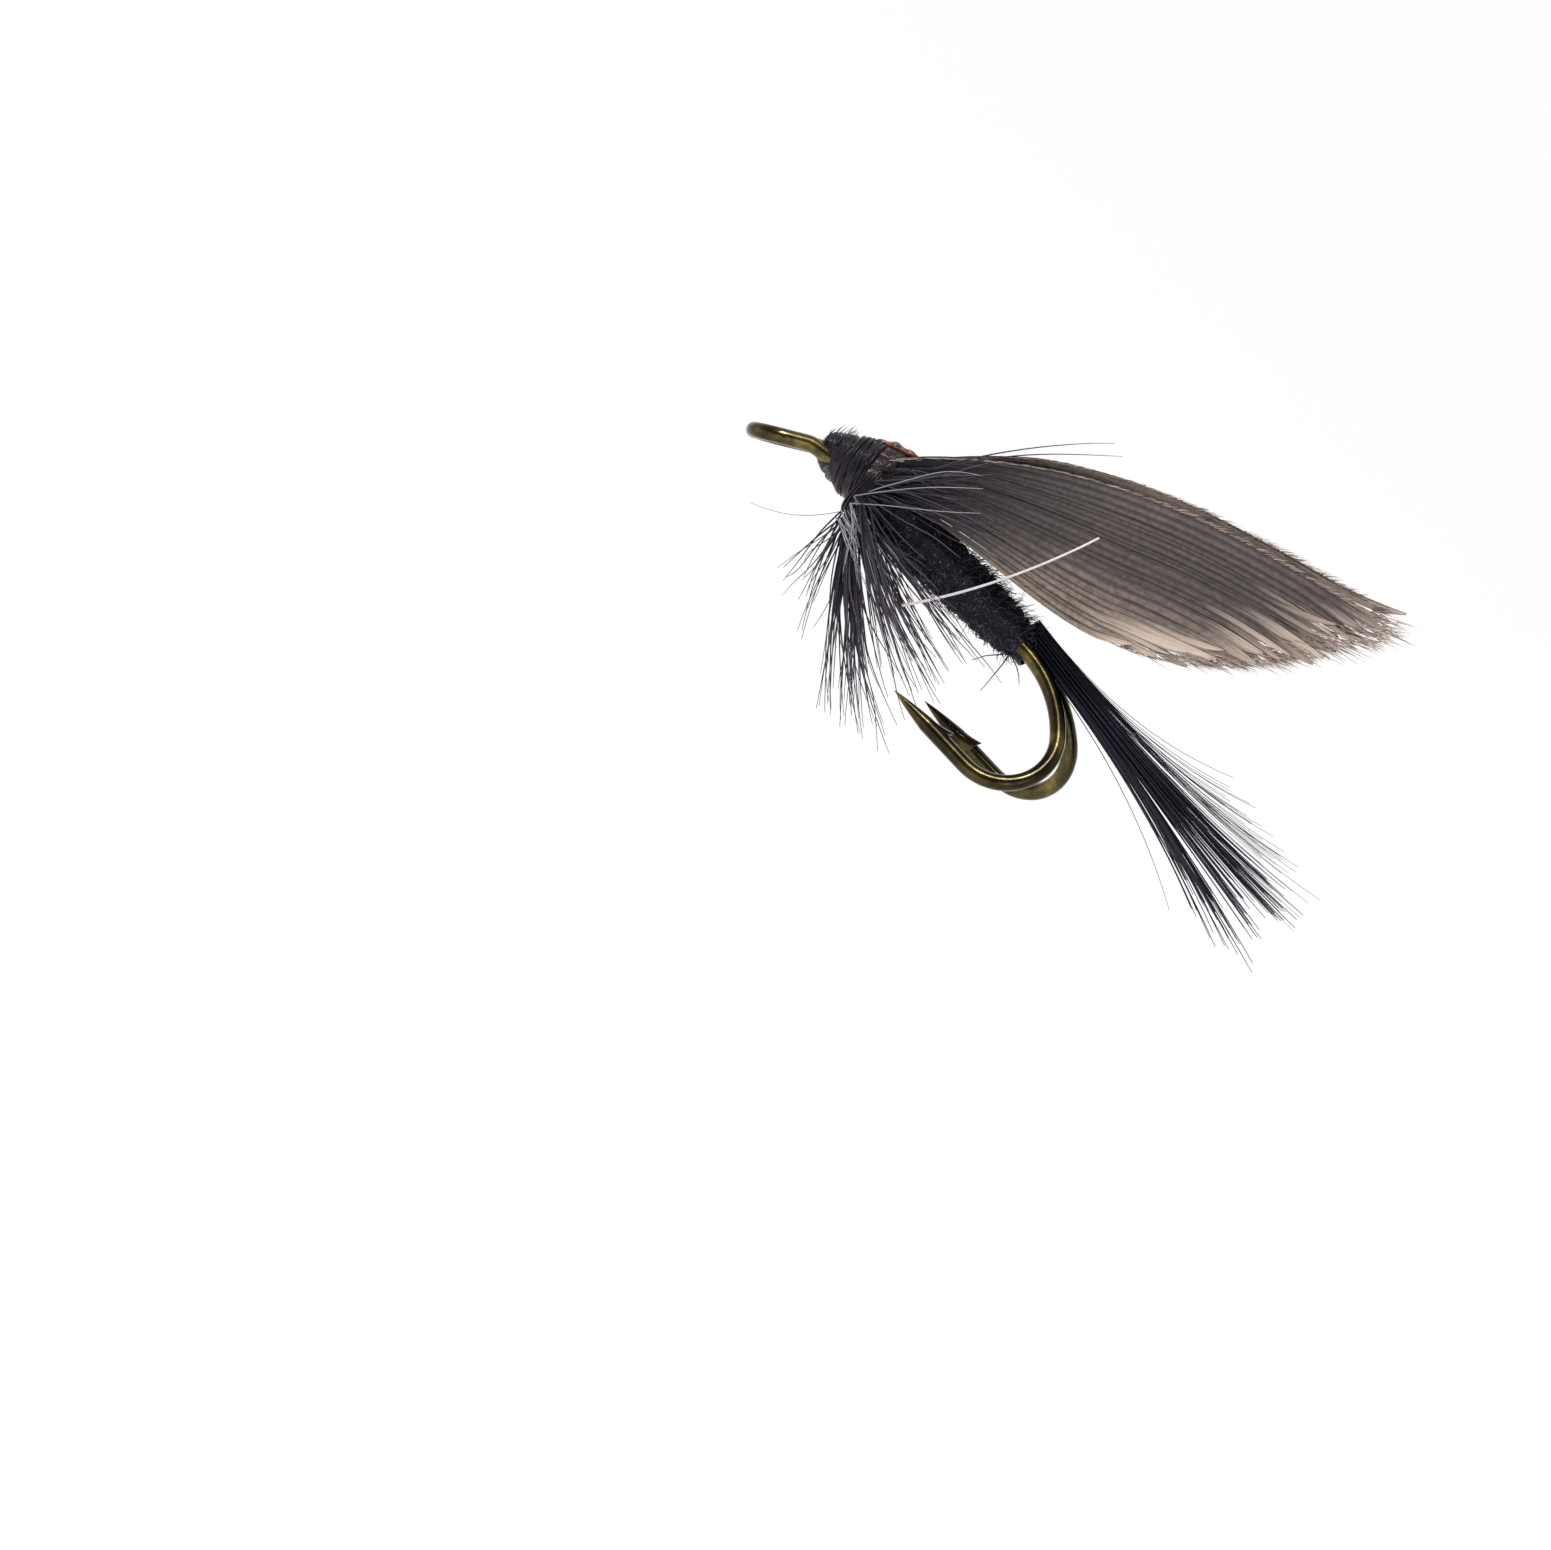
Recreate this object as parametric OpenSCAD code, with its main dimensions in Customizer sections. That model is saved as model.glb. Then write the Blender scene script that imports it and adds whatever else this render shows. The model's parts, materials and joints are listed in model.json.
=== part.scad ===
// Winged wet fly dressed on a double hook.
// Origin: centre of the hook eye. +X runs aft along the shank, +Z is the wing side.

/* [Hook] */
// Diameter of the hook wire
wire_d = 0.58; // [0.52:0.02:0.6]
// Distance between the centre lines of the two shanks
shank_spacing = 0.62; // [0.62:0.01:0.66]
// Height of the shank above the centre of the eye
shank_z = 0.94; // [0.9:0.02:1]
// Distance from the eye to the start of the bends
shank_end = 11.5; // [11.4:0.1:11.8]
// Width across the hole of the eye
eye_hole = 1.45; // [1.35:0.05:1.55]
// Angle of the down-turned eye
eye_tilt = 31; // [28:1:34]
// Angle of each hook away from the middle plane
hook_splay = 28; // [26:1:30]
// Radius of the first, wider part of the bend
bend_r1 = 4.5; // [4.4:0.05:4.6]
// Turn of the first part of the bend
bend_turn1 = 47.5; // [46:0.5:49]
// Radius of the second, tighter part of the bend
bend_r2 = 1.9; // [1.85:0.05:1.95]
// Turn of the second part of the bend
bend_turn2 = 133.5; // [132:0.5:134.5]
// Length from the bend to the start of the tapered point
spear_len = 1.95; // [1.8:0.05:2.1]
// Length of the tapered point
point_len = 1.65; // [1.5:0.05:1.8]
// Height of the barb above the wire
barb_h = 0.3; // [0.2:0.05:0.4]

/* [Dressing] */
// Length of the head
head_len = 2.2; // [2.1:0.05:2.3]
// Radius of the head at its front
head_r_front = 0.64; // [0.6:0.02:0.68]
// Radius of the head at its widest
head_r_rear = 1.4; // [1.35:0.05:1.45]
// Upward lean of the head
head_lean = 13; // [12:1:14]
// Front end of the wound body
body_start = 4.05; // [4:0.05:4.1]
// Greatest radius of the wound body
body_r = 1.1; // [1.05:0.05:1.15]
// Radius of the wound body at its tail end
body_r_end = 0.7; // [0.68:0.01:0.72]
// Turns of dubbing shown along the body
body_turns = 11; // [8:1:14]

/* [Wing] */
// Length of a wing slip from its root
wing_len = 18.7; // [18:0.1:19.2]
// Rise of the wing above the shank
wing_rise = 28; // [26:1:29]
// Thickness of a slip
wing_t = 0.2; // [0.16:0.02:0.24]
// Width of the gap between the two slips at the ridge
ridge_gap = 0.3; // [0.3:0.05:0.5]

/* [Tail and hackle] */
// Length of the tail behind its tie-in
tail_len = 13.8; // [13:0.1:14.2]
// Droop of the tail
tail_droop = 6.5; // [6:0.5:7]
// Length of the longest beard fibres
beard_len = 9.2; // [8.5:0.1:9.6]
// Length of the longest side fibres
side_len = 8.6; // [8:0.1:9]

/* [Hidden] */
$fn = 32;

wire_r = wire_d / 2;
shank_y = shank_spacing / 2;
eye_r = eye_hole / 2 + wire_r;
shank_start = 2.5;
// End of the open eye's strand, before it is drawn in under the head
strand_run = 0.95;
strand_draw_in = 20;
aft = [1, 0, 0];
eye_aft = [cos(eye_tilt), 0, sin(eye_tilt)];
wire_sides = 14;
bend_steps1 = 8;
bend_steps2 = 14;
eye_steps = 20;
point_tip_r = 0.02;
strand_sides = 10;
barb_back = 2.4;
barb_len = 0.7;
barb_w = 0.26;

underbody_t = 0.06;
underbody_r = wire_r + underbody_t;
butt_t = 0.14;
tail_butt_start = 7.6;
body_end = 11.28;
body_groove = 0.035;
tail_root = [11.75, 0, shank_z + wire_r + 0.4];
tail_band_start = 11.3;
tail_band_len = 0.18;
tail_band_end = 11.62;
tail_bundle_len = 4.4;
tail_pairs = 4;
tail_waver = 3.2;
tail_fan = 1.6;
head_start = 1.25;
head_z = 0.84;
sleeve_r = 0.8;
sleeve_start = 2.35;
sleeve_end = 3.35;
hackle_band_start = 3.5;
hackle_band_end = 3.9;
hackle_band_r = 1.05;
hackle_root_x = 3.85;
hackle_root_r = 1.2;
fan_root_r = 0.2;
fibre_r = 0.13;
fibre_tip_r = 0.03;
side_strands = 9;
side_spread = 30;
side_waver = 5;
side_low = -4;
side_high = 40;
side_share = 0.72;
beard_strands = 11;
beard_waver = 7;
beard_low = 28;
beard_high = 82;
// Share by which the foremost beard fibre is shorter than the rearmost
beard_fall = 0.6;
butt_w = 0.34;
wing_butt_start = 2.45;
whip_t = 0.05;
whip_from = 0.7;
whip_w = 0.6;
varnish_t = 0.1;
cement_t = 0.18;
cement_at = [2.75, 0, 3];
cement_r = 0.85;
// Flat step on top of the head's rear, where the wing's ends come in
step_top = 1.55;

wing_root = [3.5, 0, 2.25];
slip_start = 2;
slip_bow_r = 14;
ridge_h = 1.85;
slip_drop = 5.55;
slip_lean_y = 1.6;
slip_steps = 24;
top_peak = 1.6;
top_tip = 0.47;
low_peak = 3.4;
low_root = 1;
// How fast the root's extra width fades along the slip
root_fade = 6;
// Where the ragged tip starts on the top edge and on the low edge
tip_top = 0.94;
tip_low = 0.88;
tip_steps = 5;
base_gap = 0.15;
base_start = 0.1;
base_top = 0.25;

// ---------- helpers ----------

// Runs a cylinder from point a to point b
module strut(a, b, d) {
    v = b - a;
    h = norm(v);
    translate(a) rotate([0, acos(v.z / h), atan2(v.y, v.x)]) cylinder(d = d, h = h);
}

// Lays a tapered rod along a direction given by a sideways angle and a downward angle
module strand(aside, down, r1, r2, length) {
    rotate([0, 0, aside]) rotate([0, 90 + down, 0]) hull() {
        sphere(r = r1, $fn = strand_sides);
        translate([0, 0, length - r2]) sphere(r = r2, $fn = strand_sides);
    }
}

// Turns a profile of [radius, distance] points round the shank
module round_shank(points) {
    translate([0, 0, shank_z]) rotate([0, 90, 0]) rotate_extrude() polygon(points);
}

// Room in the thread for the two strands that run under the head
module strand_room() {
    for (side = [-1, 1]) {
        back = 0.4 * unit(neck(side) - shank_from(side));
        strut(neck(side) + back, shank_from(side) - back, wire_d + 0.08);
    }
}

// A sleeve round the shank
module sleeve(r, from, to) {
    translate([from, 0, shank_z]) rotate([0, 90, 0]) cylinder(r = r, h = to - from);
}

// The two shanks, or a tight skin round them, as one upright oval bar
module shank_bar(r, from, to) {
    for (side = [-1, 1]) translate([from, side * shank_y, shank_z])
        rotate([0, 90, 0]) cylinder(r = r, h = to - from);
    translate([from, -shank_y, shank_z - r]) cube([to - from, shank_spacing, 2 * r]);
}

// ---------- hook ----------

function unit(v) = v / norm(v);
function reversed(list) = [for (i = [len(list) - 1 : -1 : 0]) list[i]];

// Point on a circle in the plane of u and v
function on_circle(centre, u, v, r, a) = centre + r * (cos(a) * u + sin(a) * v);

// Direction in which a hook hangs away from its shank
function hang(side) = [0, side * sin(hook_splay), -cos(hook_splay)];
function bend_centre1(side) = [shank_end, side * shank_y, shank_z] + bend_r1 * hang(side);
function bend_centre2(side) = on_circle(bend_centre1(side), -hang(side), aft, bend_r1 - bend_r2, bend_turn1);
function bend_end(side) = on_circle(bend_centre2(side), -hang(side), aft, bend_r2, bend_turn1 + bend_turn2);
function spear_dir(side) = cos(bend_turn1 + bend_turn2) * aft + sin(bend_turn1 + bend_turn2) * hang(side);

// Centre line of one hook, from the end of its shank to its point
function hook_line(side) = concat(
    [for (i = [0 : bend_steps1]) on_circle(bend_centre1(side), -hang(side), aft, bend_r1,
                                           bend_turn1 * i / bend_steps1)],
    [for (i = [1 : bend_steps2]) on_circle(bend_centre2(side), -hang(side), aft, bend_r2,
                                           bend_turn1 + bend_turn2 * i / bend_steps2)],
    [for (run = [spear_len, spear_len + point_len / 2, spear_len + point_len])
        bend_end(side) + run * spear_dir(side)]);

// Where a strand of the eye meets the loop, and where it goes under the head
function loop_end(side) = on_circle([0, 0, 0], eye_aft, [0, side, 0], eye_r, 90 - strand_draw_in);
function neck(side) = loop_end(side)
    + strand_run * (cos(strand_draw_in) * eye_aft - sin(strand_draw_in) * [0, side, 0]);
function shank_from(side) = [shank_start, side * shank_y, shank_z];

function eye_line() = [for (i = [0 : eye_steps])
    on_circle([0, 0, 0], eye_aft, [0, -1, 0], eye_r,
              90 - strand_draw_in + (180 + 2 * strand_draw_in) * i / eye_steps)];

// The whole wire, from one point, round the eye, to the other point
function wire_line() = concat(reversed(hook_line(-1)), [shank_from(-1), neck(-1)], eye_line(),
                              [neck(1), shank_from(1)], hook_line(1));

function heading(line, i) = unit(line[min(i + 1, len(line) - 1)] - line[max(i - 1, 0)]);
// Carries a sideways direction along the line without twisting it
function carried(line, i, side) = i == len(line) ? []
    : let (h = heading(line, i), s = unit(side - (side * h) * h)) concat([s], carried(line, i + 1, s));

module wire() {
    line = wire_line();
    last = len(line) - 1;
    sides = carried(line, 0, [0, 0, 1]);
    points = [for (i = [0 : last])
        let (h = heading(line, i), u = sides[i], v = cross(h, u), end = min(i, last - i),
             r = end == 0 ? point_tip_r : end == 1 ? wire_r * 0.62 : wire_r)
        for (k = [0 : wire_sides - 1])
            line[i] + r * (cos(360 * k / wire_sides) * u + sin(360 * k / wire_sides) * v)];
    walls = [for (i = [0 : last - 1]) for (k = [0 : wire_sides - 1])
        let (a = i * wire_sides + k, b = i * wire_sides + (k + 1) % wire_sides)
        for (face = [[a, b + wire_sides, b], [a, a + wire_sides, b + wire_sides]]) face];
    ends = [for (k = [1 : wire_sides - 2]) for (face = [[0, k, k + 1],
        [last * wire_sides, last * wire_sides + k + 1, last * wire_sides + k]]) face];
    polyhedron(points, concat(walls, ends));
}

// A sliver raised on the inner side of the wire, its tip towards the bend
module barb() {
    translate([0, barb_w / 2, 0]) rotate([90, 0, 0]) linear_extrude(barb_w)
        polygon([[0, wire_r + barb_h], [0, wire_r * 0.4], [-barb_len, wire_r * 0.4]]);
}

module hook_wire() {
    color("darkgoldenrod") {
        wire();
        for (side = [-1, 1])
            translate(bend_end(side) + (spear_len + point_len - barb_back) * spear_dir(side))
                rotate([side * hook_splay, 0, 0]) rotate([0, bend_turn1 + bend_turn2 - 180, 0]) barb();
    }
}

module braze_seam() {
    from = shank_start + 0.3;
    to = shank_end - 0.4;
    h = wire_d * 0.6;
    color("goldenrod") difference() {
        translate([from, -shank_y, shank_z - h / 2]) cube([to - from, shank_spacing, h]);
        for (side = [-1, 1]) translate([from - 1, side * shank_y, shank_z])
            rotate([0, 90, 0]) cylinder(r = wire_r, h = to - from + 2);
    }
}

// ---------- thread, tail and body ----------

module thread_underbody() {
    from = shank_start + 0.1;
    to = shank_end - 0.1;
    color("black") difference() {
        shank_bar(underbody_r, from, to);
        for (side = [-1, 1]) translate([from - 1, side * shank_y, shank_z])
            rotate([0, 90, 0]) cylinder(r = wire_r, h = to - from + 2);
        translate([from - 1, -shank_y, shank_z - wire_d * 0.3])
            cube([to - from + 2, shank_spacing, wire_d * 0.6]);
    }
}

module butt_strip(from, to, z) {
    translate([from, -butt_w, z]) cube([to - from, 2 * butt_w, butt_t]);
}

module tail_butts() {
    color("midnightblue") butt_strip(tail_butt_start, tail_band_end, shank_z + underbody_r);
}

module tail_binding_wraps() {
    color("black") difference() {
        sleeve(body_r_end, tail_band_start, tail_band_start + tail_band_len);
        shank_bar(underbody_r, tail_band_start - 1, tail_band_end);
        butt_strip(tail_band_start - 1, tail_band_end + 1, shank_z + underbody_r);
    }
}

// Bundle at the root with separate strands that fan out behind it
module tail_fibres() {
    color("midnightblue") translate(tail_root + [0.2, 0, 0]) {
        strand(0, tail_droop, 0.3, 0.62, tail_bundle_len);
        for (i = [-tail_pairs : tail_pairs])
            strand(i % 2 * tail_waver, tail_droop + i * tail_fan, 0.26, 0.05,
                   tail_len - 0.2 * abs(i));
    }
}

function body_radius(t) = body_r_end + (body_r - body_r_end) * pow(sin(180 * min(1, 0.2 + 0.8 * t)), 0.7)
    * (1 - 0.25 * t);
function body_wave(i) = i % 2 == 0 ? -body_groove : body_groove;

module body_dubbing() {
    len = body_end - body_start;
    steps = 2 * body_turns;
    wall = [for (i = [0 : steps]) let (t = i / steps)
        [body_radius(t) + body_wave(i), body_start + len * t]];
    color("black") difference() {
        round_shank(concat([[0, body_start]], wall, [[0, body_start + len]]));
        shank_bar(underbody_r, body_start - 1, body_start + len + 1);
        butt_strip(tail_butt_start, body_start + len + 1, shank_z + underbody_r);
    }
}

// ---------- hackle ----------

module hackle_butts() {
    color("midnightblue") butt_strip(sleeve_start, hackle_band_start, shank_z - underbody_r - butt_t);
}

module hackle_binding_wraps() {
    color("black") difference() {
        sleeve(hackle_band_r, hackle_band_start, hackle_band_end);
        shank_bar(underbody_r, hackle_band_start - 1, hackle_band_end + 1);
    }
}

// One fibre of a fan; every third one stands a little to each side
module fan_strand(i, aside, waver, down, reach) {
    strand(aside + waver * (i * 2 % 3 - 1), down, fibre_r, fibre_tip_r, reach);
}

// Side fan from one root; its longest fibres are in the middle
module hackle_side() {
    translate([hackle_root_x, -hackle_root_r, shank_z - 0.3]) {
        sphere(r = fan_root_r, $fn = 12);
        for (i = [0 : side_strands - 1]) {
            t = i / (side_strands - 1);
            fan_strand(i, -side_spread, side_waver, side_low + (side_high - side_low) * t,
                       side_len * (side_share + (1 - side_share) * sin(180 * t)));
        }
    }
}

module hackle_left() {
    color("black") hackle_side();
}

module hackle_right() {
    color("black") mirror([0, 1, 0]) hackle_side();
}

module hackle_beard() {
    color("black") translate([hackle_root_x, 0, shank_z - hackle_root_r]) {
        sphere(r = fan_root_r, $fn = 12);
        for (i = [0 : beard_strands - 1]) {
            t = i / (beard_strands - 1);
            fan_strand(i, 0, beard_waver, beard_low + (beard_high - beard_low) * t,
                       beard_len * (1 - beard_fall * pow(t, 0.8)));
        }
    }
}

// ---------- wing ----------

module in_wing_frame() {
    translate(wing_root) rotate([0, -wing_rise, 0]) children();
}

function top_edge(t) = top_peak * sin(180 * pow(t, 0.82)) + top_tip * t;
function low_edge(t) = -low_root * pow(1 - t, root_fade) - low_peak * sin(180 * pow(t, 1.233));
// Leaf outline: top edge out, ragged tip, low edge back
module slip_outline() {
    t0 = slip_start / wing_len;
    top = [for (i = [0 : slip_steps]) let (t = t0 + (tip_top - t0) * i / slip_steps)
        [wing_len * t, top_edge(t)]];
    tip = [for (i = [0 : tip_steps]) let (k = i / tip_steps) [
        wing_len * (tip_top * (1 - k) + tip_low * k + 0.06 * sin(180 * pow(k, 0.6)) + 0.015 * (i % 2)),
        top_edge(tip_top) * (1 - k) + low_edge(tip_low) * k]];
    low = [for (i = [0 : slip_steps]) let (t = tip_low - (tip_low - t0) * i / slip_steps)
        [wing_len * t, low_edge(t)]];
    polygon(concat(top, tip, low));
}

// Curved sheet that the slip is cut from; it leans out from the ridge
module slip_sheet() {
    chord = norm([slip_lean_y, slip_drop]);
    reach = sqrt(slip_bow_r * slip_bow_r - chord * chord / 4);
    centre_y = -ridge_gap / 2 - slip_lean_y / 2 + reach * slip_drop / chord;
    centre_z = ridge_h - slip_drop / 2 - reach * slip_lean_y / chord;
    translate([-1, centre_y, centre_z]) rotate([0, 90, 0]) difference() {
        cylinder(r = slip_bow_r, h = wing_len + 3, $fn = 180);
        translate([0, 0, -1]) cylinder(r = slip_bow_r - wing_t, h = wing_len + 5, $fn = 180);
    }
}

module wing_slip() {
    in_wing_frame() intersection() {
        translate([0, -ridge_gap / 2, 0]) rotate([90, 0, 0]) linear_extrude(4) slip_outline();
        slip_sheet();
    }
}

module wing_slip_left() {
    color("rosybrown") wing_slip();
}

module wing_slip_right() {
    color("rosybrown") mirror([0, 1, 0]) wing_slip();
}

// The pinched start of a slip, behind the head
module wing_base() {
    t1 = (slip_start - base_gap) / wing_len;
    in_wing_frame() intersection() {
        translate([0, -ridge_gap / 2, 0]) rotate([90, 0, 0]) linear_extrude(4)
            polygon([[base_start, low_edge(0)], [base_start, base_top], [wing_len * t1, top_edge(t1)],
                     [wing_len * t1, low_edge(t1)]]);
        slip_sheet();
    }
}

module wing_base_left() {
    color("dimgray") wing_base();
}

module wing_base_right() {
    color("dimgray") mirror([0, 1, 0]) wing_base();
}

module wing_butt() {
    translate([wing_butt_start, -butt_w - 0.02, shank_z + underbody_r])
        cube([sleeve_end - wing_butt_start, butt_w - 0.02, butt_t]);
}

module wing_butt_left() {
    color("dimgray") wing_butt();
}

module wing_butt_right() {
    color("dimgray") mirror([0, 1, 0]) wing_butt();
}

// ---------- head ----------

// Solid shape of the head, grown outwards by g
module head_shape(g) {
    steps = 10;
    wall = [for (i = [0 : steps]) let (t = i / steps)
        [head_r_front + (head_r_rear - head_r_front) * sin(90 * pow(t, 0.9)) * (t > 0.95 ? 0.9 : 1) + g,
         (head_len + 2 * g) * t - g]];
    translate([head_start, 0, head_z]) rotate([0, 90 - head_lean, 0])
        rotate_extrude() polygon(concat([[0, -g]], wall, [[0, head_len + g]]));
}

// Room inside the head for everything it is wound over
module head_core() {
    strand_room();
    shank_bar(wire_r, shank_start, 6);
    sleeve(sleeve_r, sleeve_start, sleeve_end);
    shank_bar(underbody_r, shank_start + 0.1, 6);
    butt_strip(sleeve_start, 6, shank_z - underbody_r - butt_t);
    translate([sleeve_end, -2, step_top - 4]) cube([3, 4, 4]);
}

module wing_binding_wraps() {
    color("black") difference() {
        sleeve(sleeve_r, sleeve_start, sleeve_end);
        strand_room();
        shank_bar(wire_r, shank_start, 6);
        shank_bar(underbody_r, shank_start + 0.1, 6);
        butt_strip(sleeve_start, 6, shank_z - underbody_r - butt_t);
        wing_butt();
        mirror([0, 1, 0]) wing_butt();
    }
}

module head_wraps() {
    color([0.1, 0.09, 0.1]) difference() {
        head_shape(0);
        head_core();
    }
}

module whip_zone() {
    translate([head_start, 0, head_z]) rotate([0, 90 - head_lean, 0])
        translate([0, 0, whip_from]) cylinder(r = 3, h = whip_w);
}

module whip_finish_wraps() {
    color("black") intersection() {
        difference() {
            head_shape(whip_t);
            head_shape(0);
        }
        whip_zone();
    }
}

module head_varnish() {
    color([0.75, 0.7, 0.65, 0.4]) difference() {
        head_shape(varnish_t);
        head_shape(0);
        intersection() {
            head_shape(whip_t);
            whip_zone();
        }
        head_core();
    }
}

module head_cement() {
    color("saddlebrown") difference() {
        intersection() {
            head_shape(varnish_t + cement_t);
            translate(cement_at) sphere(r = cement_r);
        }
        head_shape(varnish_t);
    }
}

hook_wire();
braze_seam();
thread_underbody();
tail_butts();
tail_binding_wraps();
tail_fibres();
body_dubbing();
hackle_butts();
hackle_binding_wraps();
hackle_left();
hackle_right();
hackle_beard();
wing_butt_left();
wing_butt_right();
wing_binding_wraps();
wing_base_left();
wing_base_right();
wing_slip_left();
wing_slip_right();
head_wraps();
whip_finish_wraps();
head_varnish();
head_cement();
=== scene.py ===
import json
import math

import bpy
import numpy as np
from mathutils import Matrix, Vector


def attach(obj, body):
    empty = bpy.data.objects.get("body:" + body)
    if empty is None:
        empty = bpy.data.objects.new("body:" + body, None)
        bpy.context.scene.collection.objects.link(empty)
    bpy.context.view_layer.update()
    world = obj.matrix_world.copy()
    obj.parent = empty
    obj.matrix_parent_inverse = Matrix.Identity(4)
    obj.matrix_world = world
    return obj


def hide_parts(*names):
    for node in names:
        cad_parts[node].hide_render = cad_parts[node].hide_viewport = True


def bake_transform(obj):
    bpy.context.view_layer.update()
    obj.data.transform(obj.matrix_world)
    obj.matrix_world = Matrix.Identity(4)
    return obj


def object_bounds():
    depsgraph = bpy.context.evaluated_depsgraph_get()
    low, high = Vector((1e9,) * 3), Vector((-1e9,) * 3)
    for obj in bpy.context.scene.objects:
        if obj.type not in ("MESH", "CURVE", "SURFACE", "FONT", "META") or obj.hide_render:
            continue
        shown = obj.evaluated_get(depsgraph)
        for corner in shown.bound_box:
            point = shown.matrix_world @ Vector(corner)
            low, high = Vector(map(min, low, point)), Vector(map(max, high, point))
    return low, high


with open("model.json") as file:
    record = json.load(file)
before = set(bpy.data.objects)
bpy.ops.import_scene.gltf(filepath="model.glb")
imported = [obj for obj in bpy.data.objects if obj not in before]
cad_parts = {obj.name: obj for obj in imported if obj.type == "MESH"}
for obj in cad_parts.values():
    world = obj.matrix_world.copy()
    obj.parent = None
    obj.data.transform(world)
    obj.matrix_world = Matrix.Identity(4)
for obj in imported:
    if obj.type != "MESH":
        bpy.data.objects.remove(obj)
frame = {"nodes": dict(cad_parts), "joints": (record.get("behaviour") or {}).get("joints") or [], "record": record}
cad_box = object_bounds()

MM = 0.001
rng = np.random.default_rng(11)

# ---------------------------------------------------------------- driving sizes, millimetres

MOUNTS = {m["name"]: np.array(m["pos_m"]) / MM for m in frame["record"]["mounts"]}
JOINTS = {j["name"]: j for j in frame["joints"]}
EYE = MOUNTS["hook_eye"]

# hook
WIRE_R = 0.29
SHANK_Y, SHANK_Z = 0.31, 0.94
SHANK_START, SHANK_END = 2.9, 11.5
EYE_R = 1.015
EYE_TILT = math.radians(31)
DRAW_IN = math.radians(20)
STRAND_RUN = 0.95
SPLAY = math.radians(28)
BEND_R1, BEND_TURN1 = 4.5, math.radians(47.5)
BEND_R2, BEND_TURN2 = 1.9, math.radians(133.5)
SPEAR_LEN, POINT_LEN = 1.95, 1.65
POINT_R = 0.02
BARB_BACK, BARB_LEN, BARB_H = 2.4, 0.7, 0.27

# head and thread
HEAD_START, HEAD_Z, HEAD_LEN = 1.25, 0.84, 2.2
HEAD_R_FRONT, HEAD_R_REAR = 0.44, 1.30
HEAD_LEAN = math.radians(13)
THREAD_R = 0.055
HACKLE_WRAPS = {"x0": 3.35, "x1": 4.0, "radius": 1.16, "turns": 6}
TAIL_WRAPS = {"x0": 11.3, "x1": 11.8, "radius": 0.50, "turns": 5}

# body
BODY_START, BODY_END = 3.95, 11.45
BODY_R, BODY_R_END = 1.08, 0.68
BODY_TURNS = 15
ROPE_DEPTH, LUMP_DEPTH, FELT_DEPTH = 0.085, 0.035, 0.02

# wing: SLIP_* and RIDGE_* shape the bowed sheet that the barbs lie on
WING_ROOT = np.array([3.5, 0.0, 2.25])
WING_RISE = math.radians(25.2)
WING_LEN = 18.7
WING_BARBS, BARB_RINGS = 22, 90
BARB_THICK = 0.03
WING_START = 0.012
SLIP_BOW_R, SLIP_DROP, SLIP_LEAN = 14.0, 5.55, 1.6
RIDGE_H, RIDGE_GAP = 1.85, 0.3
RIGHT_SLIP_LIFT = 0.36

# tail
TAIL_ROOT = np.array([11.15, 0.0, 1.55])
TAIL_LEN = 14.75
TAIL_DROOP = math.radians(6.5)
TAIL_STRANDS, TAIL_POINTS = 14, 18
TAIL_CORE = (0.34, 0.40)
TAIL_FAN = (0.9, 1.65)

# throat hackle: REACH is the longest fibre at each angle of FALL below the shank, degrees
HACKLE_X, HACKLE_R = 3.65, 0.9
HACKLE_FALL, HACKLE_REACH = (34, 45, 62, 85), (10.4, 8.3, 5.8, 4.0)
HACKLE_CLEARANCE = 0.06
HANG_BELOW_CAD = 0.35
LOWEST = cad_box[0][2] / MM - HANG_BELOW_CAD

VIEW_AZ, VIEW_EL, VIEW_ROLL = math.radians(12), math.radians(6), math.radians(44.73)

AFT = np.array([1.0, 0.0, 0.0])
PORT = np.array([0.0, 1.0, 0.0])
UP = np.array([0.0, 0.0, 1.0])
MIRROR_Y = np.array([1, -1, 1])


def unit(v):
    v = np.asarray(v, float)
    return v / np.linalg.norm(v, axis=-1, keepdims=True)


# ---------------------------------------------------------------- mesh building

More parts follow.
